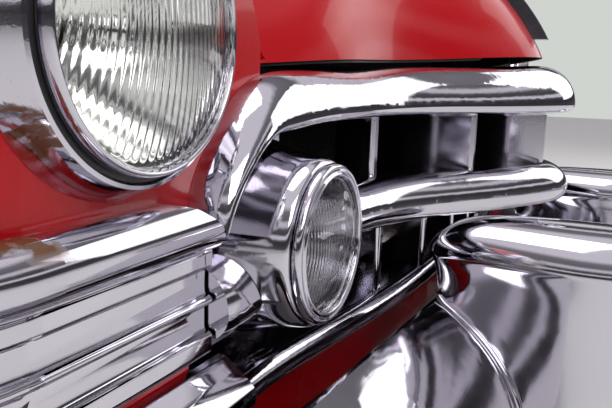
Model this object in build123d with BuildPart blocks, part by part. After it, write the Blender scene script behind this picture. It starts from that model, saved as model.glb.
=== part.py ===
# Front end of a 1950s car: bonnet, wings, grille, lamps and bumper on the front of its frame.
# Millimetres, +Z up, +Y rearwards, +X towards the car's left-hand side.
# Sizes are given from the car's own datums: Y from the plane of the headlamp glasses, Z from
# the road. save() then moves every piece so that the origin is the mounting face: between the
# two rear frame plates, on the centre line, level with the middle of the frame rails.
import os
from math import cos, radians, sin, sqrt

from build123d import *

os.makedirs("parts", exist_ok=True)

# Datums and clearances
MOUNT_Y = 1560  # rear face of the frame plates
RAIL_Z = 370  # middle of the frame rails
SEAT = 0.3  # gap between pieces that are fastened together
SHUT_GAP = 5.5  # gap between the bonnet and each wing
PANEL = 3  # thickness of pressed body panels

# Frame
RAIL_X = 400
RAIL_WIDTH = 60
RAIL_HEIGHT = 90
RAIL_WALL = 4
RAIL_FRONT_Y = 20
MOUNT_PLATE = 12
MOUNT_PLATE_WIDTH = 110
MOUNT_PLATE_HEIGHT = 180
MOUNT_HOLE_R = 7
MOUNT_HOLE_Z = 65  # bolt holes, above and below the middle of each rail

# Wing
WING_FRONT_Y = 32
WING_REAR_Y = 1545
WING_INNER_X = 554
WING_CORNER_X = 818  # centre of the front corner, seen from above
WING_CORNER_R = 150
WING_SILL_Z = 330
WING_FLANGE = 30  # height of the flange along the bonnet opening
WHEEL_Y = 900
WHEEL_Z = 345
ARCH_R = 393

# Bonnet
BONNET_HALF = WING_INNER_X - SHUT_GAP
BONNET_REAR_Y = 1540
HINGE_Y = 1500
HINGE_Z = 950
HINGE_X = 511
PIN_R = 6
PIN_PLAY = 0.05

# Headlamp
LAMP_X = 740
LAMP_Z = 800
LENS_R = 84
RING_R = 89
BEZEL_LIP_R = 92
BEZEL_R = 106
BEZEL_FRONT_Y = 6

# Fog lamp
FOG_X = 529
FOG_Y = -30
FOG_Z = 631
FOG_LENS_R = 60
FOG_RIM_R = 72

# Grille
TOP_BAR_Z = 769
MIDDLE_BAR_Z = 638
LOWER_BAR_Z = 512
BLADE = 18
BLADE_SPACING = 150

# Side trim
MOULDING_Z = 648
MOULDING_HEIGHT = 38
MOULDING_DEPTH = 32
MOULDING_TIP = [(652, 643), (656, 658), (668, 672), (686, 683), (712, 690)]  # its inner end
PANEL_TOP_Z = 645
PANEL_LOW_Z = 560
PANEL_DEPTH = 6
RIB_DEPTH = 13
LEDGE_Z = 508
LEDGE_HEIGHT = 42
LEDGE_DEPTH = 38
TRIM_INNER_X = 647

# Bumper
BUMPER_Z = 430
BUMPER_DEPTH = 112
BUMPER_SHEET = 4
GUARD_X = 290
GUARD_TOP_Z = 585
GUARD_LOW_Z = 345


def save(piece, label):
    """Moves a finished piece to the mounting origin, names it and writes it."""
    shape = piece.part.moved(Location((0, -MOUNT_Y, -RAIL_Z)))
    shape.label = label
    export_step(shape, f"parts/{label}.step")


def save_pair(piece, label):
    """Writes a piece made on the +X side and its mirror image."""
    with BuildPart() as twin:
        add(mirror(piece.part, about=Plane.YZ))
    save(piece, f"{label}_left")
    save(twin, f"{label}_right")


def across(y):
    """The plane across the car at y: its own x runs along X, its own y along Z."""
    return Plane((0, y, 0), x_dir=(1, 0, 0), z_dir=(0, -1, 0))


def lengthwise(x):
    """The plane along the car at x: its own x runs along Y, its own y along Z."""
    return Plane.YZ.offset(x)


# Frame: two box rails with bolting plates at the back, tied by two cross-members
with BuildPart() as frame_front:
    with BuildSketch(across(MOUNT_Y - MOUNT_PLATE)):
        with Locations((RAIL_X, RAIL_Z), (-RAIL_X, RAIL_Z)):
            Rectangle(RAIL_WIDTH, RAIL_HEIGHT)
            Rectangle(RAIL_WIDTH - 2 * RAIL_WALL, RAIL_HEIGHT - 2 * RAIL_WALL, mode=Mode.SUBTRACT)
    extrude(amount=MOUNT_Y - MOUNT_PLATE - RAIL_FRONT_Y)
    with BuildSketch(across(MOUNT_Y)):
        with Locations((RAIL_X, RAIL_Z), (-RAIL_X, RAIL_Z)):
            Rectangle(MOUNT_PLATE_WIDTH, MOUNT_PLATE_HEIGHT)
        with Locations(
            *[(x, RAIL_Z + z) for x in (-RAIL_X, RAIL_X) for z in (-MOUNT_HOLE_Z, MOUNT_HOLE_Z)]
        ):
            Circle(MOUNT_HOLE_R, mode=Mode.SUBTRACT)
    extrude(amount=MOUNT_PLATE)
    # Cross-members: y, length along the car, height, middle height
    for y, length, height, z in [(243, 60, 60, RAIL_Z), (WHEEL_Y, 130, 70, RAIL_Z - 15)]:
        with Locations((0, y, z)):
            Box(2 * RAIL_X - RAIL_WIDTH, length, height)
    # Outriggers that carry the inner wing panels
    for side in (-1, 1):
        with Locations(*[(side * (RAIL_X + 93), y, RAIL_Z + 20) for y in (330, 1430)]):
            Box(126, 60, 40)
save(frame_front, "frame_front")


# Wing. Each row is a section across the car: y, height of the inner edge, crown x, crown height
WING_ROWS = [
    (32, 800, 700, 912),
    (40, 818, 716, 928),
    (54, 836, 730, 943),
    (87, 858, 745, 958),
    (182, 897, 756, 977),
    (420, 939, 758, 990),
    (1000, 974, 758, 1003),
    (1545, 1000, 758, 1008),
]


def corner_x(y, grow):
    """Outermost x of the wing's side at y, where it rounds the front corner."""
    forward = min(0, y - WING_FRONT_Y - WING_CORNER_R)
    return WING_CORNER_X + sqrt(max(0, (WING_CORNER_R + grow) ** 2 - forward**2))


def wing_form(grow, sill_z):
    """The wing's whole outer form as a solid, grown or shrunk all round by an amount."""
    with BuildPart() as form:
        # The rounded front and the long body behind it meet at row 4
        for first, last in [(0, 4), (4, len(WING_ROWS) - 1)]:
            for index in range(first, last + 1):
                y, edge_z, crown_x, crown_z = WING_ROWS[index]
                if index < 3:
                    y = y - grow
                if index == len(WING_ROWS) - 1:
                    y = y + abs(grow)
                side_x = WING_CORNER_X if index == 0 else corner_x(y, grow)
                crown = (crown_x, crown_z + grow)
                inner = (WING_INNER_X - grow, edge_z + grow)
                side = (side_x, crown_z + grow - (side_x - crown_x))
                with BuildSketch(across(y)):
                    with BuildLine():
                        TangentArc(crown, inner, tangent=(-1, 0))
                        Polyline(inner, (inner[0], sill_z), (side[0], sill_z), side)
                        TangentArc(side, crown, tangent=(0, 1))
                    make_face()
            loft()
    return form


wing_outside = wing_form(0, WING_SILL_Z)
wing_inside = wing_form(-PANEL, WING_SILL_Z - 20)
wing_clear = wing_form(SEAT, WING_SILL_Z - 20)

with BuildPart() as wing:
    add(wing_outside.part)
    add(wing_inside.part, mode=Mode.SUBTRACT)
    # Wheel opening
    with BuildSketch(lengthwise(WING_INNER_X - 10)):
        with Locations((WHEEL_Y, WHEEL_Z)):
            Circle(ARCH_R)
        with Locations((WHEEL_Y, WING_SILL_Z - 50)):
            Rectangle(2 * ARCH_R, 200)
    extrude(amount=500, mode=Mode.SUBTRACT)
    # Headlamp opening
    with BuildSketch(across(WING_FRONT_Y + 60)):
        with Locations((LAMP_X, LAMP_Z)):
            Circle(BEZEL_R - 4)
    extrude(amount=80, mode=Mode.SUBTRACT)
    # Below the flange the side towards the engine is open
    with BuildSketch(lengthwise(WING_INNER_X - 10)):
        with BuildLine():
            Polyline(
                *[(y, z - WING_FLANGE) for y, z, _, _ in WING_ROWS[4:]],
                (WING_REAR_Y + 20, 970),
                (WING_REAR_Y + 20, 0),
                (WING_FRONT_Y + PANEL, 0),
                (WING_FRONT_Y + PANEL, 760),
                close=True,
            )
        make_face()
    extrude(amount=10 + PANEL + 1, mode=Mode.SUBTRACT)
    # The grille opening takes the wing's inner front corner
    with BuildSketch(across(150)):
        with BuildLine():
            Polyline(
                (500, 758), (575, 754), (600, 742), (619, 726), (638, 706), (654, 680),
                (660, 655), (660, 0), (500, 0), close=True,
            )
        make_face()
    extrude(amount=150, mode=Mode.SUBTRACT)
    # Ahead of the wheel the panel ends above the bumper's lower edge
    with Locations((800, 250, 300)):
        Box(600, 560, 200, mode=Mode.SUBTRACT)
save_pair(wing, "wing")


# Inner wing panel: the flat panel beside the engine and the arched one over the wheel
APRON_X = WING_INNER_X + PANEL + SEAT
APRON_LOW_Z = RAIL_Z + 20 + 20 + SEAT
APRON_BELOW_EDGE = 12
WHEELHOUSE_R = 400
AXLE_OPENING_R = 250

with BuildPart() as wheelhouse:
    with BuildSketch(lengthwise(APRON_X)):
        with BuildLine():
            Polyline(
                *[(y, z - APRON_BELOW_EDGE) for y, z, _, _ in WING_ROWS[4:-1]],
                (WING_REAR_Y, WING_ROWS[-1][1] - APRON_BELOW_EDGE),
                (WING_REAR_Y, APRON_LOW_Z),
                (WING_ROWS[4][0], APRON_LOW_Z),
                close=True,
            )
        make_face()
        with Locations((WHEEL_Y, WHEEL_Z)):
            Circle(AXLE_OPENING_R, mode=Mode.SUBTRACT)
    extrude(amount=PANEL)
    with BuildSketch(lengthwise(APRON_X)):
        with Locations((WHEEL_Y, WHEEL_Z)):
            Circle(WHEELHOUSE_R)
            Circle(WHEELHOUSE_R - PANEL, mode=Mode.SUBTRACT)
        with Locations((WHEEL_Y, APRON_LOW_Z - 500)):
            Rectangle(3 * WHEELHOUSE_R, 1000, mode=Mode.SUBTRACT)
    extrude(amount=corner_x(WHEEL_Y, 0) - PANEL - 1 - APRON_X)
save_pair(wheelhouse, "wheelhouse")


# Radiator support: a pressed frame that stands on the front cross-member
SUPPORT_Y = 243
SUPPORT_DEPTH = 30
SUPPORT_TOP_Z = 790
CORE_WIDTH = 600
CORE_HEIGHT = 290
CORE_Z = 612

with BuildPart() as radiator_support:
    with BuildSketch(across(SUPPORT_Y + SUPPORT_DEPTH / 2)):
        with BuildLine():
            Polyline(
                (-RAIL_X + 60, RAIL_Z + 30 + SEAT), (RAIL_X - 60, RAIL_Z + 30 + SEAT),
                (RAIL_X - 40, RAIL_Z + 50),
                (WING_INNER_X - SEAT, RAIL_Z + 110), (WING_INNER_X - SEAT, SUPPORT_TOP_Z),
                (-WING_INNER_X + SEAT, SUPPORT_TOP_Z), (-WING_INNER_X + SEAT, RAIL_Z + 110),
                (-RAIL_X + 40, RAIL_Z + 50),
                close=True,
            )
        make_face()
        with Locations((0, CORE_Z)):
            RectangleRounded(CORE_WIDTH, CORE_HEIGHT, 25, mode=Mode.SUBTRACT)
    extrude(amount=SUPPORT_DEPTH)
save(radiator_support, "radiator_support")


# Radiator: core with a tank above and below, against the back of the support
RADIATOR_DEPTH = 65
TANK_HEIGHT = 48

with BuildPart() as radiator:
    face_y = SUPPORT_Y + SUPPORT_DEPTH / 2 + SEAT + RADIATOR_DEPTH / 2
    with Locations((0, face_y, CORE_Z)):
        Box(CORE_WIDTH + 20, RADIATOR_DEPTH, CORE_HEIGHT + 10)
    for side in (-1, 1):
        with Locations((0, face_y, CORE_Z + side * (CORE_HEIGHT + 10 + TANK_HEIGHT) / 2)):
            Box(CORE_WIDTH + 60, RADIATOR_DEPTH, TANK_HEIGHT)
    with Locations((0, face_y, CORE_Z + CORE_HEIGHT / 2 + TANK_HEIGHT)):
        Cylinder(28, 40)
save(radiator, "radiator")


# Bonnet. Each row is a section along the car:
# x, front y, front height, shoulder y, shoulder height, rear height
BONNET_ROWS = [
    (0, -132, 816, 130, 998, 1072),
    (140, -64, 809, 150, 988, 1067),
    (280, 12, 800, 180, 966, 1052),
    (420, 33, 794, 215, 938, 1028),
    (BONNET_HALF, 30, 790, 240, 912, 1000),
]
BONNET_REAR_SLOPE = 0.03


def bonnet_form(wider):
    """The bonnet's whole outer form as a solid, flat underneath, made wider by an amount."""
    half = BONNET_ROWS[:-1] + [(BONNET_HALF + wider, *BONNET_ROWS[-1][1:])]
    rows = [(-x, *rest) for x, *rest in half[:0:-1]] + half
    with BuildPart() as form:
        for x, front_y, front_z, shoulder_y, shoulder_z, rear_z in rows:
            rear = (BONNET_REAR_Y, rear_z)
            with BuildSketch(lengthwise(x)):
                with BuildLine():
                    top = TangentArc(rear, (shoulder_y, shoulder_z), tangent=(-1, -BONNET_REAR_SLOPE))
                    TangentArc((shoulder_y, shoulder_z), (front_y, front_z), tangent=top % 1)
                    Line((front_y, front_z), rear)
                make_face()
        loft()
    return form


bonnet_outside = bonnet_form(0)
bonnet_inside = bonnet_form(2)
with BuildPart() as bonnet:
    add(bonnet_outside.part)
    with Locations((0, PANEL, -PANEL)):
        add(bonnet_inside.part, mode=Mode.SUBTRACT)
save(bonnet, "bonnet")


# Frame under the bonnet: a pressed ladder with the two hinge arms
BRACE_GAP = PANEL + SEAT
BRACE_DEPTH = 14
ARM = 6

with BuildPart() as bonnet_frame:
    with Locations((0, BRACE_GAP, -BRACE_GAP)):
        add(bonnet_inside.part)
    # Keep two side bands, a front band, a rear band and one across the middle
    with BuildSketch():
        with Locations((0, 732)):
            Rectangle(2 * BONNET_HALF - 16, 1600)
        with Locations((0, 380), (0, 1095)):
            Rectangle(2 * BONNET_HALF - 140, 560, mode=Mode.SUBTRACT)
    extrude(amount=1300, mode=Mode.INTERSECT)
    with Locations((0, BRACE_DEPTH, -BRACE_DEPTH)):
        add(bonnet_inside.part, mode=Mode.SUBTRACT)
    for side in (-1, 1):
        with BuildSketch(lengthwise(side * HINGE_X - ARM / 2)):
            with BuildLine():
                Polyline(
                    (HINGE_Y - 14, HINGE_Z), (HINGE_Y + 14, HINGE_Z), (HINGE_Y + 22, HINGE_Z + 48),
                    (HINGE_Y - 120, HINGE_Z + 42), (HINGE_Y - 60, HINGE_Z + 20), close=True,
                )
            make_face()
            with Locations((HINGE_Y, HINGE_Z)):
                Circle(14)
                Circle(PIN_R + PIN_PLAY, mode=Mode.SUBTRACT)
        extrude(amount=ARM)
save(bonnet_frame, "bonnet_frame")


# Hinge bracket: a foot on the inner wing panel, a cheek and the pin
CHEEK_X = HINGE_X + ARM / 2 + 6
CHEEK = 6

with BuildPart() as hinge_bracket:
    with BuildSketch(lengthwise(CHEEK_X)):
        with BuildLine():
            Polyline(
                (HINGE_Y - 25, HINGE_Z - 80), (HINGE_Y + 25, HINGE_Z - 80),
                (HINGE_Y + 13, HINGE_Z), (HINGE_Y - 13, HINGE_Z), close=True,
            )
        make_face()
        with Locations((HINGE_Y, HINGE_Z)):
            Circle(13)
    extrude(amount=CHEEK)
    foot_width = APRON_X - SEAT - CHEEK_X
    with Locations((CHEEK_X + foot_width / 2, HINGE_Y, HINGE_Z - 80)):
        Box(foot_width, 50, CHEEK)
    with BuildSketch(lengthwise(HINGE_X - ARM / 2 - 8)):
        with Locations((HINGE_Y, HINGE_Z)):
            Circle(PIN_R)
    extrude(amount=CHEEK_X - HINGE_X + ARM / 2 + 8)
save_pair(hinge_bracket, "hinge_bracket")


# Bonnet ornament: a narrow fin on the nose that runs back along the crown
FIN_HEIGHT = 17
FIN_WIDTH = 20
FIN_LOW_Z = 842
FIN_REAR_Y = 430

with BuildPart() as bonnet_ornament:
    with BuildSketch(lengthwise(-FIN_WIDTH / 2)):
        with BuildLine():
            _, front_y, front_z, shoulder_y, shoulder_z, rear_z = BONNET_ROWS[0]
            top = TangentArc(
                (BONNET_REAR_Y, rear_z), (shoulder_y, shoulder_z), tangent=(-1, -BONNET_REAR_SLOPE)
            )
            TangentArc((shoulder_y, shoulder_z), (front_y, front_z), tangent=top % 1)
            Line((front_y, front_z), (BONNET_REAR_Y, rear_z))
        make_face()
        offset(amount=FIN_HEIGHT, kind=Kind.INTERSECTION)
    extrude(amount=FIN_WIDTH)
    with Locations((0, -SEAT, SEAT)):
        add(bonnet_outside.part, mode=Mode.SUBTRACT)
    with BuildSketch(lengthwise(-50)):
        with BuildLine():
            Polyline(
                (-300, FIN_LOW_Z), (-110, FIN_LOW_Z), (60, 960), (FIN_REAR_Y, 960), (FIN_REAR_Y, 1100),
                (-300, 1100), close=True,
            )
        make_face()
    extrude(amount=100, mode=Mode.INTERSECT)
save(bonnet_ornament, "bonnet_ornament")


# Headlamp pieces are turned about the lamp's axis. Sections are drawn as (radius, y).
BUCKET_DEPTH = 115
BUCKET_SHEET = 2.5
LENS_DOME = 14
LENS_WALL = 5


def turned(points, x, z):
    """A solid of revolution about the lamp axis at x, z, from (radius, y) points."""
    with BuildPart() as solid:
        with BuildSketch(Plane((x, 0, z), x_dir=(1, 0, 0), z_dir=(0, 0, 1))):
            with BuildLine():
                Polyline(*points, close=True)
            make_face()
        revolve(axis=Axis((x, 0, z), (0, 1, 0)))
    return solid


def dome(x, z, edge_r, edge_y, rise, wall):
    """A lamp glass: a shallow dome of even wall, bulging forward from its edge."""
    with BuildPart() as glass:
        with BuildSketch(Plane((x, 0, z), x_dir=(1, 0, 0), z_dir=(0, 0, 1))):
            with BuildLine():
                TangentArc((0, edge_y - rise), (edge_r, edge_y), tangent=(1, 0))
                Line((edge_r, edge_y), (edge_r, edge_y + wall))
                Line((edge_r, edge_y + wall), (0, edge_y - rise + wall))
                Line((0, edge_y - rise + wall), (0, edge_y - rise))
            make_face()
        revolve(axis=Axis((x, 0, z), (0, 1, 0)))
    return glass


lens = dome(LAMP_X, LAMP_Z, LENS_R - SEAT, 0, LENS_DOME, LENS_WALL)
save_pair(lens, "headlamp_lens")

ring = turned(
    [(LENS_R - 3, 5.5), (LENS_R, 5.5), (LENS_R, -2), (LENS_R + 2, -4), (RING_R, 0), (RING_R, 8),
     (LENS_R - 3, 8)], LAMP_X, LAMP_Z,
)
save_pair(ring, "headlamp_ring")

bucket = turned(
    [(BEZEL_LIP_R - SEAT, 8.3), (BEZEL_LIP_R - SEAT, 12), (60, BUCKET_DEPTH - 15), (25, BUCKET_DEPTH), (0, BUCKET_DEPTH),
     (0, BUCKET_DEPTH - BUCKET_SHEET), (24, BUCKET_DEPTH - BUCKET_SHEET),
     (58, BUCKET_DEPTH - 17), (RING_R - 6, 12), (RING_R - 6, 8.3)], LAMP_X, LAMP_Z,
)
save_pair(bucket, "headlamp_bucket")

with BuildPart() as bezel:
    add(
        turned(
            [(BEZEL_LIP_R, BEZEL_FRONT_Y + 2), (BEZEL_LIP_R + 1.5, BEZEL_FRONT_Y),
             (BEZEL_LIP_R + 4, BEZEL_FRONT_Y + 1), (BEZEL_R - 3, 24), (BEZEL_R, 31), (BEZEL_R, 70),
             (BEZEL_LIP_R + 4, 70), (BEZEL_LIP_R, 14)], LAMP_X, LAMP_Z,
        ).part
    )
    add(wing_clear.part, mode=Mode.SUBTRACT)
save_pair(bezel, "headlamp_bezel")


# Fog lamp: a bowl-shaped shell, a stepped rim and a glass, at each end of the middle bar
FOG_SHELL_BACK_Y = 45
FOG_SHEET = 2.5


def fog_point(radius, back):
    """A (radius, y) point of a fog lamp section, measured back from its glass."""
    return (radius, FOG_Y + back)


fog_back = FOG_SHELL_BACK_Y - FOG_Y
FOG_SHELL_PROFILE = [(-3, 6), (2, 10), (6, 22), (9, 38), (13, 56), (20, fog_back)]
fog_shell = turned(
    [fog_point(FOG_RIM_R + out, back) for out, back in FOG_SHELL_PROFILE]
    + [fog_point(0, fog_back), fog_point(0, fog_back - FOG_SHEET)]
    + [fog_point(FOG_RIM_R + out - 3.5, min(back, fog_back - FOG_SHEET))
       for out, back in FOG_SHELL_PROFILE[:0:-1]]
    + [fog_point(FOG_RIM_R - 6, 6)], FOG_X, FOG_Z,
)
fog_clear = turned(
    [fog_point(0, 6 - SEAT)]
    + [fog_point(FOG_RIM_R + out + 1.2 * SEAT, back - SEAT) for out, back in FOG_SHELL_PROFILE]
    + [fog_point(FOG_RIM_R + FOG_SHELL_PROFILE[-1][0] + 1.2 * SEAT, fog_back + SEAT),
       fog_point(0, fog_back + SEAT)], 0, 0,
)
save_pair(fog_shell, "fog_lamp_shell")

fog_rim = turned(
    [fog_point(FOG_LENS_R - 3, 4.3), fog_point(FOG_LENS_R, 4.3), fog_point(FOG_LENS_R, -2),
     fog_point(FOG_LENS_R + 3, -4), fog_point(FOG_LENS_R + 6, -2), fog_point(FOG_RIM_R - 3, -2),
     fog_point(FOG_RIM_R, 2), fog_point(FOG_RIM_R, 6 - SEAT), fog_point(FOG_LENS_R - 3, 6 - SEAT)],
    FOG_X, FOG_Z,
)
save_pair(fog_rim, "fog_lamp_rim")

fog_lens = dome(FOG_X, FOG_Z, FOG_LENS_R - SEAT, FOG_Y, 8, 4)
save_pair(fog_lens, "fog_lamp_lens")


# Grille. Each row is half of the top bar: x, y of its upper edge, height of its middle, half its
# height, depth of the face, tilt of the section in degrees
TOP_BAR_ROWS = [
    (0, -130, 769, 35, 53, 0),
    (80, -104, 767.5, 33.5, 54, 0),
    (180, -50, 765, 31, 55, 0),
    (265, -4, 763, 29, 50, 0),
    (335, 16, 760.5, 27, 44, 0),
    (430, 26, 758, 26, 41, 0),
    (515, 30, 755, 26, 38, 0),
]
# The part beyond those rows, which turns down between the fog lamp and the wing
DOWN_TURN_ROWS = [
    (562, 31, 750, 24, 37, 10),
    (597, 31, 740, 17, 37, 32),
    (619, 31, 725, 12, 37, 40),
    (639, 31, 705, 9, 36, 46),
    (655, 31, 679, 7, 34, 62),
    (664, 31, 644, 6, 30, 76),
]
TOP_BAR_BACK_Y = 54
# Middle and lower bars. Each row is half of a bar: x, y of the nose, middle height, half height
MIDDLE_BAR_ROWS = [
    (0, -183, 638, 26),
    (80, -157, 638, 26),
    (180, -103, 638, 26),
    (265, -53, 638, 26),
    (335, -27, 638, 26),
    (430, -12, 636, 26),
    (520, -4, 622, 29),
    (590, 1, 607, 31),
    (644, 6, 602, 30),
]
LOWER_BAR_ROWS = [
    (0, -25, 512, 14),
    (250, -20, 512, 14),
    (430, -4, 512, 14),
    (612, 7, 512, 14),
]
BAR_BACK_Y = 70


with BuildPart() as top_bar:
    # Drawn on each row's plane: x points out of the bar's face and y across it, up at the middle
    rows = TOP_BAR_ROWS + DOWN_TURN_ROWS
    for side, table in [(1, rows[:0:-1]), (-1, rows)]:
        for x, y, z, half, deep, tilt in table:
            t = radians(tilt)
            plane = Plane((side * x, y, z), x_dir=(0, -1, 0), z_dir=(-cos(t), 0, side * sin(t)))
            nose = (deep, -0.54 * half)
            lip = (deep - 0.3 * half, -0.84 * half)
            back = y - TOP_BAR_BACK_Y
            with BuildSketch(plane):
                with BuildLine():
                    EllipticalCenterArc((0, nose[1]), deep, half - nose[1], 0, arc_size=90)
                    Polyline((0, half), (back, 0.8 * half), (back, -0.9 * half), (8, -half), lip)
                    TangentArc(nose, lip, tangent=(0, -1))
                make_face()
    loft()
    for side in (-1, 1):
        with Locations((side * FOG_X, 0, FOG_Z)):
            add(fog_clear.part, mode=Mode.SUBTRACT)
    add(wing_clear.part, mode=Mode.SUBTRACT)
    add(mirror(wing_clear.part, about=Plane.YZ), mode=Mode.SUBTRACT)
    # Its lower ends stop against the tips of the side mouldings and the ribbed panels
    with BuildSketch(across(WING_FRONT_Y + 40)):
        with BuildLine():
            Polyline(
                (TRIM_INNER_X - SEAT, 600), (TRIM_INNER_X - SEAT, PANEL_TOP_Z + SEAT),
                (MOULDING_TIP[0][0] - SEAT, PANEL_TOP_Z + SEAT),
                *[(x - 2 * SEAT, z + 2 * SEAT) for x, z in MOULDING_TIP[1:]], (800, 690),
                (800, 600), close=True,
            )
        make_face()
        mirror(about=Plane.YZ)
    extrude(amount=100, mode=Mode.SUBTRACT)
save(top_bar, "grille_top_bar")


def straight_back_bar(rows, roll, crown_back, rise):
    """A bar with a rounded nose and a flat back, from one end of the grille to the other.

    roll is how far its lower lip is set back, crown_back how far its upper edge is, and rise
    how much its top climbs towards the back."""
    with BuildPart() as bar:
        for x, nose_y, z, half in [(-x, *rest) for x, *rest in rows[:0:-1]] + rows:
            nose = (nose_y, z - 0.3 * half)
            crown = (nose_y + crown_back, z + half - 2)
            lip = (nose_y + roll * half, z - half)
            with BuildSketch(lengthwise(x)):
                with BuildLine():
                    TangentArc(nose, crown, tangent=(0, 1))
                    Polyline(crown, (BAR_BACK_Y, z + half + rise), (BAR_BACK_Y, z - half), lip)
                    TangentArc(nose, lip, tangent=(0, -1))
                make_face()
        loft()
    return bar


with BuildPart() as middle_bar:
    add(straight_back_bar(MIDDLE_BAR_ROWS, 0.4, 46, 2).part)
    for side in (-1, 1):
        with Locations((side * FOG_X, 0, FOG_Z)):
            add(fog_clear.part, mode=Mode.SUBTRACT)
save(middle_bar, "grille_middle_bar")

lower_bar = straight_back_bar(LOWER_BAR_ROWS, 0.8, 18, 4)
save(lower_bar, "grille_lower_bar")

# Blades between the bars. Upper and lower fronts, by distance from the middle blade.
BLADE_FRONTS = [(0, -146, -20), (1, -74, -14), (2, 12, 0)]

with BuildPart() as blades:
    for step, upper_y, lower_y in BLADE_FRONTS:
        for x in {step * BLADE_SPACING, -step * BLADE_SPACING}:
            for front, low, high in [
                (upper_y, MIDDLE_BAR_Z, TOP_BAR_Z - 35 - SEAT),
                (lower_y, LOWER_BAR_Z, MIDDLE_BAR_Z - 26 - SEAT),
            ]:
                with BuildSketch(Plane.XY.offset(low)):
                    with Locations((x, (front + BAR_BACK_Y - 5) / 2)):
                        RectangleRounded(BLADE, BAR_BACK_Y - 5 - front, 5)
                extrude(amount=high - low)
    with Locations((0, 0, SEAT)):
        add(middle_bar.part, mode=Mode.SUBTRACT)
        add(lower_bar.part, mode=Mode.SUBTRACT)
save(blades, "grille_blades")

# Chromed panel behind each fog lamp, closing the end of the grille opening
END_PANEL_INNER_X = 440

with BuildPart() as end_panel:
    with BuildSketch(across(BAR_BACK_Y + SEAT + PANEL)):
        with BuildLine():
            Polyline(
                (END_PANEL_INNER_X, LOWER_BAR_Z), (690, LOWER_BAR_Z), (690, 690), (640, 730),
                (600, 748), (END_PANEL_INNER_X, 748), close=True,
            )
        make_face()
    extrude(amount=PANEL)
save_pair(end_panel, "grille_end_panel")


# Trim across the front of each wing and round its corner, from outlines seen from above
def trim_outline(grow, inner_x, end_y):
    """Adds the face of a strip round the wing's front corner, grown outwards by an amount."""
    front = WING_FRONT_Y - grow
    side = WING_CORNER_X + WING_CORNER_R + grow
    centre_y = WING_FRONT_Y + WING_CORNER_R
    with BuildLine() as outline:
        Line((inner_x, front), (WING_CORNER_X, front))
        CenterArc((WING_CORNER_X, centre_y), WING_CORNER_R + grow, 270, 90)
        Polyline(
            (side, centre_y), (side, end_y), (side - grow - 45, end_y),
            (side - grow - 45, centre_y), (WING_CORNER_X, WING_FRONT_Y + 45),
            (inner_x, WING_FRONT_Y + 45), (inner_x, front),
        )
    make_face(outline.edges())


MOULDING_END_Y = 560
with BuildPart() as moulding:
    middle_z = MOULDING_Z + MOULDING_HEIGHT / 2
    half = MOULDING_HEIGHT / 2
    centre_y = WING_FRONT_Y + WING_CORNER_R
    with BuildLine() as run:
        Line((650, WING_FRONT_Y, middle_z), (WING_CORNER_X, WING_FRONT_Y, middle_z))
        RadiusArc(
            (WING_CORNER_X, WING_FRONT_Y, middle_z),
            (WING_CORNER_X + WING_CORNER_R, centre_y, middle_z), -WING_CORNER_R,
        )
        Line(
            (WING_CORNER_X + WING_CORNER_R, centre_y, middle_z),
            (WING_CORNER_X + WING_CORNER_R, MOULDING_END_Y, middle_z),
        )
    with BuildSketch(Plane((650, WING_FRONT_Y, middle_z), x_dir=(0, -1, 0), z_dir=(1, 0, 0))):
        with BuildLine():
            nose = (MOULDING_DEPTH, 0)
            TangentArc(nose, (4, half), tangent=(0, 1))
            Polyline((4, half), (-20, half), (-20, -half), (4, -half))
            TangentArc(nose, (4, -half), tangent=(0, -1))
        make_face()
    sweep(path=run.line)
    add(wing_clear.part, mode=Mode.SUBTRACT)
    # The inner end is rounded off where the top bar comes down to it
    with BuildSketch(across(WING_FRONT_Y + 40)):
        with BuildLine():
            Polyline(
                (640, MOULDING_TIP[0][1]), *MOULDING_TIP, (640, MOULDING_TIP[-1][1]), close=True,
            )
        make_face()
    extrude(amount=100, mode=Mode.SUBTRACT)
save_pair(moulding, "side_moulding")

RIBS = [(630, 645), (601, 608), (562, 579)]  # lower and upper edges of the raised ribs
with BuildPart() as side_panel:
    with BuildSketch(Plane.XY.offset(PANEL_LOW_Z)):
        trim_outline(PANEL_DEPTH, TRIM_INNER_X, MOULDING_END_Y)
    extrude(amount=PANEL_TOP_Z - PANEL_LOW_Z)
    for low, high in RIBS:
        with BuildSketch(Plane.XY.offset(low)):
            trim_outline(RIB_DEPTH, TRIM_INNER_X, MOULDING_END_Y)
        extrude(amount=high - low)
    add(wing_clear.part, mode=Mode.SUBTRACT)
save_pair(side_panel, "side_panel")

with BuildPart() as ledge:
    with BuildSketch(Plane.XY.offset(LEDGE_Z)):
        trim_outline(LEDGE_DEPTH, 618, 500)
    extrude(amount=18)
    with BuildSketch(Plane.XY.offset(LEDGE_Z + 18)):
        trim_outline(LEDGE_DEPTH, 618, 500)
    extrude(amount=LEDGE_HEIGHT - 18, taper=50)
    add(wing_clear.part, mode=Mode.SUBTRACT)
save_pair(ledge, "side_ledge")


# Valance: the red pan below the grille, between the wings
VALANCE_ROWS = [(0, 16), (250, 22), (430, 38), (656, 52)]
VALANCE_LOW_Z = 418

with BuildPart() as valance:
    front_edge = [(-x, y) for x, y in VALANCE_ROWS[:0:-1]] + VALANCE_ROWS
    with BuildSketch(Plane.XY.offset(VALANCE_LOW_Z)):
        with BuildLine():
            Polyline(
                *front_edge, *[(x, y + PANEL) for x, y in front_edge[::-1]], close=True,
            )
        make_face()
    extrude(amount=LOWER_BAR_Z - 14 - SEAT - VALANCE_LOW_Z)
save(valance, "valance")


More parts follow.
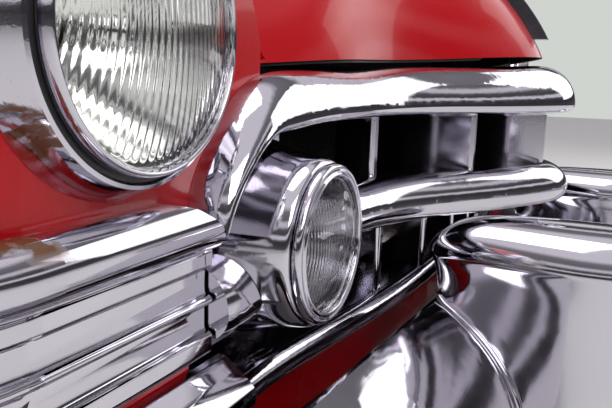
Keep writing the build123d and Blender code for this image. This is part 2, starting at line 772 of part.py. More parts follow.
# Bumper: a pressed bar, open at the back, that wraps round both wings
# Each row is half of it: x, y of its upper edge, heading in plan in degrees, depth, height
BUMPER_ROWS = [
    (0, -80, 0, 1.0, 1.0),
    (320, -78, 1.5, 1.0, 1.0),
    (560, -64, 4.5, 1.0, 0.98),
    (740, -42, 11, 0.95, 0.84),
    (870, 2, 28, 0.76, 0.76),
    (946, 66, 52, 0.54, 0.7),
    (984, 150, 76, 0.38, 0.67),
    (992, 250, 88, 0.3, 0.66),
    (994, 345, 90, 0.29, 0.66),
    (994, 440, 90, 0.28, 0.66),
]


def bumper_form(inset):
    """The bumper as a filled bar, its face set back by an amount."""
    back = -4 - 4 * abs(inset)
    with BuildPart() as form:
        for side, table in [(1, BUMPER_ROWS[:0:-1]), (-1, BUMPER_ROWS)]:
            for x, y, heading, deep, tall in table:
                h = radians(heading)
                outward = (side * sin(h), -cos(h), 0)
                onward = (-cos(h), -side * sin(h), 0)
                nose = (BUMPER_DEPTH * deep - inset, -55 * tall)
                top = (-inset, 100 * tall - inset)
                low = (70 * deep - inset, -105 * tall + inset)
                with BuildSketch(Plane((side * x, y, BUMPER_Z), x_dir=outward, z_dir=onward)):
                    with BuildLine():
                        TangentArc(nose, top, tangent=(0, 1))
                        Polyline(top, (back, top[1]), (back, low[1]), low)
                        TangentArc(nose, low, tangent=(0, -1))
                    make_face()
        loft()
    return form


bumper_outside = bumper_form(0)
bumper_inside = bumper_form(BUMPER_SHEET)
with BuildPart() as bumper_bar:
    add(bumper_outside.part)
    add(bumper_inside.part, mode=Mode.SUBTRACT)
save(bumper_bar, "bumper_bar")

# Bumper brackets: flat bars from the frame horns to the inside of the bumper's face
BRACKET_THICK = 14
BRACKET_HEIGHT = 50
horn_y = RAIL_FRONT_Y - SEAT

with BuildPart() as beyond_bumper:
    with Locations((RAIL_X, -160, RAIL_Z)):
        Box(80, 200, 120)
    add(bumper_form(BUMPER_SHEET + SEAT).part, mode=Mode.SUBTRACT)
with BuildPart() as bumper_bracket:
    with Locations((RAIL_X, (horn_y - 200) / 2, RAIL_Z)):
        Box(BRACKET_THICK, horn_y + 200, BRACKET_HEIGHT)
    with Locations((RAIL_X, horn_y - 5, RAIL_Z)):
        Box(RAIL_WIDTH, 10, RAIL_HEIGHT)
    add(beyond_bumper.part, mode=Mode.SUBTRACT)
save_pair(bumper_bracket, "bumper_bracket")


# Bumper guard: a tall body with an overhanging cap, drawn out forward to a blunt point.
# Half of its outline from above, from the tip backwards: x from its middle, y
GUARD_HALF = [(0, -385), (38, -345), (66, -270), (72, -210), (56, -150), (52, -100), (36, -64)]


def guard_form(rows):
    """A loft of the guard's outline. Each row is height, size across, size along."""
    with BuildPart() as form:
        for z, wide, long in rows:
            half = [(x * wide, -200 + (y + 200) * long) for x, y in GUARD_HALF]
            with BuildSketch(Plane.XY.offset(z)):
                with BuildLine():
                    Spline(*half, tangents=[(1, 0.25), (-0.7, 0.7)])
                    Line(half[-1], (-half[-1][0], half[-1][1]))
                    Spline(*[(-x, y) for x, y in half[::-1]], tangents=[(-0.7, -0.7), (1, -0.25)])
                make_face()
        loft(ruled=True)
    return form


with BuildPart() as bumper_guard:
    with Locations((GUARD_X, 0, 0)):
        add(guard_form([(GUARD_LOW_Z, 0.94, 0.94), (470, 0.92, 0.94), (GUARD_TOP_Z, 0.97, 0.97)]).part)
        add(
            guard_form(
                [(GUARD_TOP_Z, 1.03, 1.02), (GUARD_TOP_Z + 12, 1.0, 1.0),
                 (GUARD_TOP_Z + 30, 0.8, 0.88), (GUARD_TOP_Z + 40, 0.55, 0.7),
                 (GUARD_TOP_Z + 45, 0.25, 0.5)]
            ).part
        )
    add(bumper_form(-SEAT).part, mode=Mode.SUBTRACT)
    with Locations((GUARD_X, -30, BUMPER_Z)):
        Box(200, 100, 202, mode=Mode.SUBTRACT)
save_pair(bumper_guard, "bumper_guard")
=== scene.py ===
from math import cos, hypot, pi, radians, sin

import bmesh
import bpy
from mathutils import Matrix, Vector


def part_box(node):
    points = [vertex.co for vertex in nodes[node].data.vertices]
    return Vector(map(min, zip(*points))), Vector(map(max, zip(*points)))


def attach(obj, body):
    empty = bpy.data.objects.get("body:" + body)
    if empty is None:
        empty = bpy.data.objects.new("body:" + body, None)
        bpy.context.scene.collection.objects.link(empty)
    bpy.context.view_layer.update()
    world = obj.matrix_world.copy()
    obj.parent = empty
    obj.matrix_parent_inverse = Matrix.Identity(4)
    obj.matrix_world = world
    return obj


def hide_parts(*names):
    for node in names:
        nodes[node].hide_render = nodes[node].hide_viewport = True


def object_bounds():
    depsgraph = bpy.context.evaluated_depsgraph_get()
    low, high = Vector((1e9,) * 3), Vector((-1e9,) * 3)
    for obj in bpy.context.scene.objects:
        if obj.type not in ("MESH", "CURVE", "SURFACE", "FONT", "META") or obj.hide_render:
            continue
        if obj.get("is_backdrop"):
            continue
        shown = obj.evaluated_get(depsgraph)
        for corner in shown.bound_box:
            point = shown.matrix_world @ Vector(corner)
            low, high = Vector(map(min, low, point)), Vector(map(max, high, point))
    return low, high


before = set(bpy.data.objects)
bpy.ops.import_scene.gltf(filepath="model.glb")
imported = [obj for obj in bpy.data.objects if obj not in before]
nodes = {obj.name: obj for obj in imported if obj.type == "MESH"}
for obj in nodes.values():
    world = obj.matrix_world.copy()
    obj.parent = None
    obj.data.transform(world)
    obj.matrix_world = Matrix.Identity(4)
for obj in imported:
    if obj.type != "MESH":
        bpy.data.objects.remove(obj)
cad_low, cad_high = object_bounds()
SIDES = [("left", 1), ("right", -1)]


# Frame section: two box rails, cross-members and the bumper's brackets.
# Rolled steel, painted satin black by brush, with small specks of road dust all over.
# Welded, and bolted to the rest of the frame at the two rear plates.
def new_material(name, colour, metallic, roughness):
    """A Principled material, and its nodes, links and shader."""
    material = bpy.data.materials.new(name)
    material.use_nodes = True
    tree = material.node_tree
    shader = tree.nodes["Principled BSDF"]
    shader.inputs["Base Color"].default_value = (*colour, 1)
    shader.inputs["Metallic"].default_value = metallic
    shader.inputs["Roughness"].default_value = roughness
    return material, tree, shader


def make_wear_group():
    """Cloudy film, small specks and fine lines, from Object coordinates."""
    group = bpy.data.node_groups.new("surface_wear", "ShaderNodeTree")
    face = group.interface
    for name, value in [("Film Size", 6.0), ("Speck Size", 220.0), ("Speck Amount", 0.3)]:
        socket = face.new_socket(name, in_out="INPUT", socket_type="NodeSocketFloat")
        socket.default_value = value
    for name in ("Film", "Specks", "Height"):
        face.new_socket(name, in_out="OUTPUT", socket_type="NodeSocketFloat")
    add, link = group.nodes.new, group.links.new
    given, out, place = add("NodeGroupInput"), add("NodeGroupOutput"), add("ShaderNodeTexCoord")

    film = add("ShaderNodeTexNoise")
    film.inputs["Detail"].default_value = 6
    film.inputs["Roughness"].default_value = 0.62
    link(place.outputs["Object"], film.inputs["Vector"])
    link(given.outputs["Film Size"], film.inputs["Scale"])
    spread = add("ShaderNodeMapRange")
    spread.inputs["From Min"].default_value = 0.38
    spread.inputs["From Max"].default_value = 0.68
    link(film.outputs["Fac"], spread.inputs["Value"])
    link(spread.outputs["Result"], out.inputs["Film"])

    speck = add("ShaderNodeTexNoise")
    speck.inputs["Detail"].default_value = 3
    link(place.outputs["Object"], speck.inputs["Vector"])
    link(given.outputs["Speck Size"], speck.inputs["Scale"])
    cut = add("ShaderNodeMapRange")
    cut.inputs["From Min"].default_value = 0.68
    cut.inputs["From Max"].default_value = 0.76
    link(speck.outputs["Fac"], cut.inputs["Value"])
    amount = add("ShaderNodeMath")
    amount.operation = "MULTIPLY"
    link(cut.outputs["Result"], amount.inputs[0])
    link(given.outputs["Speck Amount"], amount.inputs[1])
    link(amount.outputs[0], out.inputs["Specks"])

    stretch = add("ShaderNodeMapping")
    stretch.inputs["Scale"].default_value = (30, 400, 400)
    link(place.outputs["Object"], stretch.inputs["Vector"])
    lines = add("ShaderNodeTexNoise")
    lines.inputs["Scale"].default_value = 1
    lines.inputs["Detail"].default_value = 2
    link(stretch.outputs["Vector"], lines.inputs["Vector"])
    total = add("ShaderNodeMath")
    total.operation = "SUBTRACT"
    link(lines.outputs["Fac"], total.inputs[0])
    link(amount.outputs[0], total.inputs[1])
    link(total.outputs[0], out.inputs["Height"])
    return group


wear_group = make_wear_group()


def add_wear(tree, shader, clean, worn, roughness, bump, film=6.0, specks=220.0, amount=0.3):
    """Worn colour in the specks, a roughness from the film and a faint bump."""
    wear = tree.nodes.new("ShaderNodeGroup")
    wear.node_tree = wear_group
    wear.inputs["Film Size"].default_value = film
    wear.inputs["Speck Size"].default_value = specks
    wear.inputs["Speck Amount"].default_value = amount
    tint = tree.nodes.new("ShaderNodeMix")
    tint.data_type = "RGBA"
    tint.inputs["A"].default_value = (*clean, 1)
    tint.inputs["B"].default_value = (*worn, 1)
    tree.links.new(wear.outputs["Specks"], tint.inputs["Factor"])
    tree.links.new(tint.outputs["Result"], shader.inputs["Base Color"])
    rough = tree.nodes.new("ShaderNodeMapRange")
    rough.inputs["To Min"].default_value, rough.inputs["To Max"].default_value = roughness
    tree.links.new(wear.outputs["Film"], rough.inputs["Value"])
    tree.links.new(rough.outputs["Result"], shader.inputs["Roughness"])
    height = tree.nodes.new("ShaderNodeBump")
    height.inputs["Strength"].default_value = bump
    height.inputs["Distance"].default_value = 0.0004
    tree.links.new(wear.outputs["Height"], height.inputs["Height"])
    tree.links.new(height.outputs["Normal"], shader.inputs["Normal"])
    return wear, tint


def dress(material, *names):
    """Gives CAD nodes their material."""
    for name in names:
        mesh = nodes[name].data
        mesh.materials.clear()
        mesh.materials.append(material)


BLACK = (0.022, 0.022, 0.024)
DUST = (0.16, 0.13, 0.1)
chassis_black, tree, shader = new_material("chassis_black", BLACK, 0, 0.45)
add_wear(tree, shader, BLACK, DUST, (0.35, 0.7), 0.35, 5, 60, 0.7)
dress(
    chassis_black, "frame_front", "bumper_bracket_left", "bumper_bracket_right", "wheelhouse_left",
    "wheelhouse_right", "radiator_support", "bonnet_frame", "hinge_bracket_left",
    "hinge_bracket_right", "headlamp_bucket_left", "headlamp_bucket_right",
)


# Radiator: a tube-and-fin core between two tanks, painted matt black,
# standing behind its pressed support. The fins are fine folded strips.
RADIATOR_BLACK = (0.03, 0.028, 0.026)
radiator_black, tree, shader = new_material("radiator_black", RADIATOR_BLACK, 0, 0.6)
add_wear(tree, shader, RADIATOR_BLACK, DUST, (0.5, 0.8), 0.4, 7, 90, 0.8)
dress(radiator_black, "radiator")


# Wings, valance and bonnet: deep-drawn steel, sprayed bright red and polished.
# The colour is a little darker in small specks, and the insides are black underseal.
RED = (0.47, 0.002, 0.006)
RED_FILM = (0.26, 0.003, 0.007)
red_paint, tree, shader = new_material("red_paint", RED, 0, 0.3)
add_wear(tree, shader, RED, RED_FILM, (0.24, 0.36), 0.05, 3.5, 140, 0.3)
shader.inputs["Specular IOR Level"].default_value = 0.2
shader.inputs["Coat Weight"].default_value = 0.35
shader.inputs["Coat Roughness"].default_value = 0.05
UNDERSEAL = (0.014, 0.011, 0.009)
underseal, tree, shader = new_material("underseal", UNDERSEAL, 0, 0.85)
add_wear(tree, shader, UNDERSEAL, DUST, (0.75, 0.95), 0.5, 6, 70, 0.5)


def dress_inside(name, middle_x, middle_z):
    """Puts underseal on the faces that look towards the middle of a hollow panel."""
    mesh = nodes[name].data
    mesh.materials.append(underseal)
    for face in mesh.polygons:
        y = min(max(face.center.y, cad_low.y + 0.55), -0.1)
        outward = face.center - Vector((middle_x, y, middle_z))
        if face.normal.dot(outward) < 0:
            face.material_index = 1


PANEL_MIDDLE_Z = 0.33
dress(red_paint, "wing_left", "wing_right", "valance", "bonnet")
dress_inside("wing_left", 0.76, PANEL_MIDDLE_Z)
dress_inside("wing_right", -0.76, PANEL_MIDDLE_Z)
dress_inside("bonnet", 0, PANEL_MIDDLE_Z)


# Grille bars, blades and end panels: heavy plated steel with a mirror finish.
# Fine wiping lines, a thin film of polish, and small pits with brown in them.
CHROME = (0.64, 0.62, 0.68)
PIT_BROWN = (0.2, 0.13, 0.1)
chrome, tree, shader = new_material("chrome", CHROME, 1, 0.08)
add_wear(tree, shader, CHROME, PIT_BROWN, (0.04, 0.12), 0.06, 9, 800, 0.5)
dress(
    chrome, "grille_top_bar", "grille_middle_bar", "grille_lower_bar", "grille_blades",
    "grille_end_panel_left", "grille_end_panel_right", "bonnet_ornament",
    "headlamp_bezel_left", "headlamp_bezel_right", "bumper_bar",
)


# Radiator fins: fine upright strips of brass, soldered to the core's two faces
# and painted with it.
FIN_COUNT = 90
FIN_PITCH = 0.0064
FIN_HEIGHT = 0.27
FIN_PROUD = 0.0015
FIN_MIDDLE_Z = 0.242
low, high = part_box("radiator")


def make_piece(name, bm, material, body="front_end", smooth=True):
    """A finished mesh that rides on a body."""
    mesh = bpy.data.meshes.new(name)
    bm.to_mesh(mesh)
    bm.free()
    mesh.materials.append(material)
    for polygon in mesh.polygons:
        polygon.use_smooth = smooth
    piece = bpy.data.objects.new(name, mesh)
    bpy.context.scene.collection.objects.link(piece)
    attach(piece, body)
    return piece


bm = bmesh.new()
for index in range(FIN_COUNT):
    x = (index - (FIN_COUNT - 1) / 2) * FIN_PITCH
    size = Matrix.Diagonal((0.0008, high.y - low.y + 2 * FIN_PROUD, FIN_HEIGHT, 1))
    place = Matrix.Translation((x, (low.y + high.y) / 2, FIN_MIDDLE_Z))
    bmesh.ops.create_cube(bm, size=1, matrix=place @ size)
make_piece("radiator_fins", bm, radiator_black, smooth=False)


# Side mouldings: half-round plated strips. Rust has broken through the plating
# along the upper edge of the right-hand one, in front of the wing's corner.
moulding_chrome, tree, shader = new_material("moulding_chrome", CHROME, 1, 0.08)
wear, tint = add_wear(tree, shader, CHROME, PIT_BROWN, (0.04, 0.12), 0.06, 9, 800, 0.5)
RUST = (0.16, 0.075, 0.035)
RUST_TOP = (0.304, 0.312)
RUST_INNER = (-0.805, -0.82)
RUST_BACK = (-1.49, -1.515)
place = tree.nodes.new("ShaderNodeTexCoord")
split = tree.nodes.new("ShaderNodeSeparateXYZ")
tree.links.new(place.outputs["Object"], split.inputs[0])
patches = tree.nodes.new("ShaderNodeTexNoise")
patches.inputs["Scale"].default_value = 55
patches.inputs["Detail"].default_value = 5
tree.links.new(place.outputs["Object"], patches.inputs["Vector"])
rust = None
for source, (start, full) in [
    (split.outputs["Z"], RUST_TOP), (split.outputs["X"], RUST_INNER),
    (split.outputs["Y"], RUST_BACK), (patches.outputs["Fac"], (0.46, 0.52)),
]:
    reach = tree.nodes.new("ShaderNodeMapRange")
    reach.inputs["From Min"].default_value = start
    reach.inputs["From Max"].default_value = full
    tree.links.new(source, reach.inputs["Value"])
    if rust is None:
        rust = reach.outputs["Result"]
    else:
        both = tree.nodes.new("ShaderNodeMath")
        both.operation = "MULTIPLY"
        tree.links.new(rust, both.inputs[0])
        tree.links.new(reach.outputs["Result"], both.inputs[1])
        rust = both.outputs[0]
stained = tree.nodes.new("ShaderNodeMix")
stained.data_type = "RGBA"
stained.inputs["B"].default_value = (*RUST, 1)
tree.links.new(rust, stained.inputs["Factor"])
tree.links.new(tint.outputs["Result"], stained.inputs["A"])
tree.links.new(stained.outputs["Result"], shader.inputs["Base Color"])
bright = tree.nodes.new("ShaderNodeMath")
bright.operation = "SUBTRACT"
bright.inputs[0].default_value = 1
tree.links.new(rust, bright.inputs[1])
tree.links.new(bright.outputs[0], shader.inputs["Metallic"])
dress(moulding_chrome, "side_moulding_left", "side_moulding_right")


# Headlamps: a pressed glass with upright flutes over a bright reflector and
# its bulb. The glass is held in the bucket by a thin plated ring.
def spin_profile(bm, profile, centre, steps, closed=True):
    """Turns (radius, y) points about the lamp's axis, which runs along Y through centre."""
    ring = [bm.verts.new((centre.x + r, centre.y + y, centre.z)) for r, y in profile]
    edges = [bm.edges.new(pair) for pair in zip(ring, ring[1:])]
    if closed:
        edges.append(bm.edges.new((ring[-1], ring[0])))
    bmesh.ops.spin(
        bm, geom=ring + edges, cent=centre, axis=(0, 1, 0), angle=2 * pi, steps=steps,
        use_merge=True, use_duplicate=False,
    )
    bmesh.ops.remove_doubles(bm, verts=bm.verts, dist=1e-6)
    bmesh.ops.recalc_face_normals(bm, faces=bm.faces)


lamp_glass, tree, shader = new_material("lamp_glass", (0.97, 0.98, 0.97), 0, 0.02)
shader.inputs["Transmission Weight"].default_value = 1
shader.inputs["IOR"].default_value = 1.45
MIRROR = (0.9, 0.9, 0.88)
reflector_silver, tree, shader = new_material("reflector_silver", MIRROR, 1, 0.1)
add_wear(tree, shader, MIRROR, (0.5, 0.48, 0.42), (0.08, 0.2), 0.03, 20, 300, 0.4)

LENS_RINGS = 56
LENS_STEPS = 192
FLUTE = 0.0058
FLUTE_DEPTH = 0.0006


def make_lens(name, node, wall, flute, depth):
    """A domed glass in the place of its CAD node, fluted on the inside."""
    low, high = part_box(node)
    middle = (low + high) / 2
    radius = (high.x - low.x) / 2
    edge = high.y - low.y - wall
    bm = bmesh.new()
    front = [(radius * i / LENS_RINGS, edge * (i / LENS_RINGS) ** 2) for i in range(LENS_RINGS + 1)]
    back = [(r, y + wall) for r, y in front[::-1]]
    spin_profile(bm, front + back, Vector((middle.x, low.y, middle.z)), LENS_STEPS, closed=False)
    for vert in bm.verts:
        across, up = vert.co.x - middle.x, vert.co.z - middle.z
        reach = hypot(across, up) / radius
        if vert.co.y - low.y > edge * reach**2 + wall / 2 and reach < 0.97:
            # Flutes lean outwards a little in the lower half of the glass
            lean = 0.25 * across * min(0, up) / radius
            vert.co.y += depth * cos(2 * pi * (across + lean) / flute)
    lens = make_piece(name, bm, lamp_glass)
    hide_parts(node)
    return lens


for side, sign in SIDES:
    make_lens(f"headlamp_glass_{side}", f"headlamp_lens_{side}", 0.0045, FLUTE, FLUTE_DEPTH)
    low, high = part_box(f"headlamp_bucket_{side}")
    centre = Vector(((low.x + high.x) / 2, low.y, (low.z + high.z) / 2))
    bowl = [(0.079 * t, 0.004 + 0.085 * (1 - t**2)) for t in [i / 24 for i in range(3, 25)]]
    bm = bmesh.new()
    spin_profile(bm, bowl + [(r + 0.001, y + 0.001) for r, y in bowl[::-1]], centre, 96)
    reflector = make_piece(f"headlamp_reflector_{side}", bm, reflector_silver)
    bm = bmesh.new()
    cap = [(0.0, 0.026), (0.008, 0.027), (0.0125, 0.031), (0.013, 0.04), (0.011, 0.052), (0.01, 0.088), (0.0, 0.088)]
    spin_profile(bm, cap, centre, 32, closed=False)
    make_piece(f"headlamp_bulb_{side}", bm, reflector_silver)
    make_lens(f"fog_lamp_glass_{side}", f"fog_lamp_lens_{side}", 0.0035, 0.0044, 0.0004)


# Lamp rims: rings spun from sheet brass and plated, with a rolled lip that
# grips the glass. The fog lamp's shell is spun too and flares towards its back.
HEADLAMP_RING = [
    (81.2, 8), (81.2, 5.6), (84.1, 5.4), (84.1, -1.6), (84.8, -3.4), (86.2, -4), (87.8, -2.6),
    (88.8, 0), (89, 4), (88.9, 7.9),
]
FOG_RIM = [
    (57.3, 5.6), (57.3, 4.4), (60.1, 4.2), (60.1, -2), (60.8, -3.6), (62.4, -4), (63.8, -3),
    (65, -1.6), (66.6, -2.6), (69, -3), (71, -1.6), (72, 1), (72, 4), (71.6, 5.6),
]
FOG_SHELL = [
    (66.4, 6.2), (70, 6.2), (73.4, 7.4), (75.4, 10.4), (77.6, 20), (80, 34), (83, 48), (87, 62),
    (91.6, 74.6), (88.6, 74.6), (84, 62), (80, 48), (77, 34), (74.4, 20), (72, 11), (66.4, 8),
]


def spin_ring(name, node, front, profile):
    """A turned ring in the place of its CAD node. The profile is (radius, y) in millimetres."""
    low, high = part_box(node)
    centre = Vector(((low.x + high.x) / 2, low.y - front / 1000, (low.z + high.z) / 2))
    bm = bmesh.new()
    spin_profile(bm, [(r / 1000, y / 1000) for r, y in profile], centre, 48)
    ring = make_piece(name, bm, chrome)
    smooth = ring.modifiers.new("Subdivision", "SUBSURF")
    smooth.levels = smooth.render_levels = 2
    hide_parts(node)


for side, sign in SIDES:
    spin_ring(f"headlamp_bright_ring_{side}", f"headlamp_ring_{side}", -4, HEADLAMP_RING)
    spin_ring(f"fog_lamp_bright_rim_{side}", f"fog_lamp_rim_{side}", -4, FOG_RIM)
    spin_ring(f"fog_lamp_bowl_{side}", f"fog_lamp_shell_{side}", 6, FOG_SHELL)


# Side trim: rolled and plated strips that run round the wing's front corner.
# The ribbed panel has raised half-round ribs between flat grooves, clipped on.
CORNER_X = 0.818
CORNER_Y = -1.378
CORNER_R = 0.15
PANEL_PROFILE = [
    (1, 645), (12, 645), (13, 643), (13, 633), (11.6, 630.4), (6.4, 628), (6, 620), (6, 612),
    (7, 608.6), (11.4, 608), (13, 606), (13, 603.4), (11.4, 601.2), (7, 600.6), (6, 597), (6, 590),
    (6, 583), (7, 579.6), (11.4, 579), (13, 577), (13, 565), (12, 562.4), (8, 560), (1, 560),
]
LEDGE_PROFILE = [
    (1, 549), (8, 548), (20, 540), (30, 532), (36, 526), (38, 519), (37, 512), (33, 508.4),
    (24, 508), (1, 508),
]


def run_trim(name, node, profile, inner_x, end_y, side_sign):
    """A strip swept along the wing's front, round its corner and back along its side.

    The profile is (outwards, height) in millimetres, from the wing's face and the road."""
    bm = bmesh.new()
    face_y = CORNER_Y - CORNER_R
    ring = [
        bm.verts.new((inner_x, face_y - out / 1000, (height - 370) / 1000))
        for out, height in profile
    ]
    start = bm.faces.new(ring)
    result = bmesh.ops.extrude_face_region(bm, geom=[start])["geom"]
    moved = [item for item in result if isinstance(item, bmesh.types.BMVert)]
    bmesh.ops.translate(bm, verts=moved, vec=(CORNER_X - inner_x, 0, 0))
    end = [item for item in result if isinstance(item, bmesh.types.BMFace)]
    turned = bmesh.ops.spin(
        bm, geom=end, cent=(CORNER_X, CORNER_Y, 0), axis=(0, 0, 1), angle=pi / 2, steps=24,
        use_merge=True, use_duplicate=False,
    )["geom_last"]
    last = [item for item in turned if isinstance(item, bmesh.types.BMFace)]
    result = bmesh.ops.extrude_face_region(bm, geom=last)["geom"]
    moved = [item for item in result if isinstance(item, bmesh.types.BMVert)]
    bmesh.ops.translate(bm, verts=moved, vec=(0, end_y - CORNER_Y, 0))
    bmesh.ops.delete(bm, geom=end + last, context="FACES_ONLY")
    if side_sign < 0:
        bmesh.ops.scale(bm, vec=(-1, 1, 1), verts=bm.verts)
    bmesh.ops.remove_doubles(bm, verts=bm.verts, dist=1e-6)
    bmesh.ops.recalc_face_normals(bm, faces=bm.faces)
    strip = make_piece(name, bm, chrome)
    edges = strip.modifiers.new("Bevel", "BEVEL")
    edges.width = 0.0009
    edges.segments = 3
    edges.limit_method = "ANGLE"
    edges.angle_limit = radians(20)
    edges.harden_normals = True
    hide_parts(node)


for side, sign in SIDES:
    run_trim(f"ribbed_panel_{side}", f"side_panel_{side}", PANEL_PROFILE, 0.647, -1.0, sign)
    run_trim(f"trim_ledge_{side}", f"side_ledge_{side}", LEDGE_PROFILE, 0.618, -1.06, sign)


# Bumper guards: heavy plated stampings with a domed, overhanging cap, drawn out
# forward to a blunt point and bolted through the bumper's face. A bead hides the joint.
GUARD_X = 0.29
GUARD_MIDDLE_Y = -1.7845
GUARD_HALF_LENGTH = 0.1605
GUARD_HALF_WIDTH = 0.072
GUARD_FOOT_Z = -0.025
# Height above the foot, size across and size along
GUARD_STEPS = 22
GUARD_ROWS = [(0.188 * (step / GUARD_STEPS) ** 0.7, 0.925, 0.945) for step in range(GUARD_STEPS + 1)]
GUARD_ROWS += [
    (0.2, 0.93, 0.95), (0.214, 0.94, 0.96), (0.226, 0.965, 0.98), (0.234, 1.0, 1.0),
    (0.239, 1.03, 1.02), (0.2445, 1.035, 1.022), (0.252, 1.01, 1.01), (0.263, 0.93, 0.95),
    (0.273, 0.8, 0.86), (0.281, 0.58, 0.68), (0.285, 0.32, 0.42),
]
BUMPER_TOP_Z = 0.16


def bumper_face_y(height):
    """Where the bumper's face stands at a height, in the middle of a guard."""
    rise = (height - BUMPER_TOP_Z) * 1000 + 155
    if rise >= 0:
        out = (max(0, 163.25**2 - rise**2)) ** 0.5 - 51.25
    else:
        out = 61.24 + (max(0, 50.76**2 - rise**2)) ** 0.5
    return -1.6385 - max(0, out) / 1000


def guard_outline(across, along):
    """A point of the guard's outline from one of a unit circle, blunt towards the back."""
    blunt = abs(across) ** 0.45 if along > 0 else abs(across)
    half = GUARD_HALF_WIDTH * blunt * (1 - 0.25 * max(along, 0))
    return (half if across > 0 else -half), GUARD_HALF_LENGTH * along


for side, sign in SIDES:
    bm = bmesh.new()
    bmesh.ops.create_circle(bm, cap_ends=False, radius=1, segments=40)
    for vert in bm.verts:
        vert.co.x, vert.co.y = guard_outline(vert.co.x, vert.co.y)
    loop = bm.edges[:]
    previous = (1, 1)
    for height, wide, long in GUARD_ROWS:
        if height:
            grown = bmesh.ops.extrude_edge_only(bm, edges=loop)["geom"]
            loop = [item for item in grown if isinstance(item, bmesh.types.BMEdge)]
        verts = list({vert for edge in loop for vert in edge.verts})
        bmesh.ops.scale(bm, verts=verts, vec=(wide / previous[0], long / previous[1], 1))
        bmesh.ops.translate(bm, verts=verts, vec=(0, 0, height - verts[0].co.z))
        previous = (wide, long)
    bmesh.ops.holes_fill(bm, edges=loop, sides=0)
    bmesh.ops.translate(bm, verts=bm.verts, vec=(sign * GUARD_X, GUARD_MIDDLE_Y, GUARD_FOOT_Z))
    for vert in bm.verts:
        if vert.co.z < BUMPER_TOP_Z:
            vert.co.y = min(vert.co.y, bumper_face_y(vert.co.z) + 0.002)
    bmesh.ops.recalc_face_normals(bm, faces=bm.faces)
    guard = make_piece(f"bumper_guard_body_{side}", bm, chrome)
    smooth = guard.modifiers.new("Subdivision", "SUBSURF")
    smooth.levels = smooth.render_levels = 2
    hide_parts(f"bumper_guard_{side}")
    for flank in (-1, 1):
        path = []
        for height, wide, long in GUARD_ROWS[: GUARD_STEPS + 1]:
            z = GUARD_FOOT_Z + height
            y = bumper_face_y(z)
            along = (y - GUARD_MIDDLE_Y) / GUARD_HALF_LENGTH / long
            half, _ = guard_outline((1 - along**2) ** 0.5, along)
            path.append((sign * GUARD_X + flank * (half * wide + 0.001), y - 0.001, z))
        line = bpy.data.curves.new("guard_bead_line", "CURVE")
        line.dimensions = "3D"
        line.bevel_depth = 0.0035
        line.bevel_resolution = 4
        line.use_fill_caps = True
        spline = line.splines.new("POLY")
        spline.points.add(len(path) - 1)
        for point, place in zip(spline.points, path):
            point.co = (*place, 1)
        carrier = bpy.data.objects.new("guard_bead_line", line)
        bm = bmesh.new()
        bm.from_mesh(carrier.to_mesh())
        bpy.data.objects.remove(carrier)
        bpy.data.curves.remove(line)
        bmesh.ops.recalc_face_normals(bm, faces=bm.faces)
        make_piece(f"guard_bead_{side}_{'inner' if flank * sign < 0 else 'outer'}", bm, chrome)


# Studio: a pale floor under the lowest point, three soft lamps, a pale world
# and the camera at the photograph's place and angle.
FLOOR_COLOUR = (0.78, 0.78, 0.76)
floor_material, tree, shader = new_material("studio_floor", FLOOR_COLOUR, 0, 0.6)
bm = bmesh.new()
bmesh.ops.create_grid(bm, x_segments=1, y_segments=1, size=12)
bmesh.ops.translate(bm, verts=bm.verts, vec=(0, 0, cad_low.z))
mesh = bpy.data.meshes.new("studio_floor")
bm.to_mesh(mesh)
bm.free()
mesh.materials.append(floor_material)
floor = bpy.data.objects.new("studio_floor", mesh)
bpy.context.scene.collection.objects.link(floor)
floor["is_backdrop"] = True


def add_lamp(name, place, aim, size, power):
    """A square soft lamp at a place, aimed at a point."""
    light = bpy.data.lights.new(name, "AREA")
    light.size = size
    light.energy = power
    lamp = bpy.data.objects.new(name, light)
    lamp.location = place
    lamp.rotation_mode = "QUATERNION"
    lamp.rotation_quaternion = (Vector(aim) - Vector(place)).to_track_quat("-Z", "Y")
    bpy.context.scene.collection.objects.link(lamp)


AIM = (0, -1.2, 0.3)
add_lamp("key_lamp", (-2.6, -4.2, 3.2), AIM, 2.6, 80)
add_lamp("fill_lamp", (3.4, -3.6, 2.2), AIM, 2.8, 40)
add_lamp("top_lamp", (0.2, -0.6, 4.2), AIM, 3.0, 60)

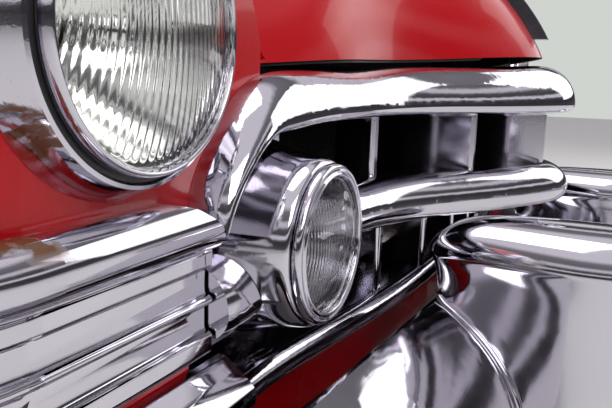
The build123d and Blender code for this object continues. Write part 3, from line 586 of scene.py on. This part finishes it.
world = bpy.data.worlds.new("studio_world")
bpy.context.scene.world = world
world.use_nodes = True
tree = world.node_tree
background = tree.nodes["Background"]
coordinates = tree.nodes.new("ShaderNodeTexCoord")
split = tree.nodes.new("ShaderNodeSeparateXYZ")
tree.links.new(coordinates.outputs["Generated"], split.inputs[0])
height = tree.nodes.new("ShaderNodeMapRange")
height.inputs["From Min"].default_value = -1
tree.links.new(split.outputs["Z"], height.inputs["Value"])
sky = tree.nodes.new("ShaderNodeValToRGB")
SKY_STOPS = [
    (0.0, 0.3), (0.5, 0.1), (0.55, 0.05), (0.585, 0.1), (0.6, 0.95), (0.625, 0.95), (0.645, 0.08),
    (0.7, 0.14), (0.73, 0.85), (0.76, 0.9), (0.79, 0.2), (0.86, 0.28), (0.9, 1.0), (1.0, 1.0),
]
ramp = sky.color_ramp
for index, (place, level) in enumerate(SKY_STOPS):
    stop = ramp.elements[index] if index < 2 else ramp.elements.new(place)
    stop.position = place
    stop.color = (level * 0.98, level * 0.94, level, 1)
tree.links.new(height.outputs["Result"], sky.inputs["Fac"])
rays = tree.nodes.new("ShaderNodeLightPath")
seen = tree.nodes.new("ShaderNodeMix")
seen.data_type = "RGBA"
seen.inputs["B"].default_value = (0.78, 0.82, 0.78, 1)
tree.links.new(rays.outputs["Is Camera Ray"], seen.inputs["Factor"])
tree.links.new(sky.outputs["Color"], seen.inputs["A"])
tree.links.new(seen.outputs["Result"], background.inputs["Color"])
background.inputs["Strength"].default_value = 0.8

# The photograph's camera: 41 mm lens, close to the right-hand headlamp
PHOTO_LENS = 41.2
RIGHTWARD = Vector((0.421, -0.9065, 0.0309)).normalized()
FORWARD = Vector((0.8954, 0.41, -0.1736)).normalized()
camera_data = bpy.data.cameras.new("camera")
camera_data.lens = PHOTO_LENS
camera_data.sensor_width = 36
camera_data.clip_start = 0.01
camera = bpy.data.objects.new("camera", camera_data)
upward = RIGHTWARD.cross(FORWARD)
turn = Matrix((RIGHTWARD, upward, -FORWARD)).transposed()
camera.matrix_world = Matrix.Translation((-1.089, -1.82, 0.403)) @ turn.to_4x4()
bpy.context.scene.collection.objects.link(camera)
bpy.context.scene.camera = camera
bpy.context.scene.view_settings.view_transform = "Standard"

low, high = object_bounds()
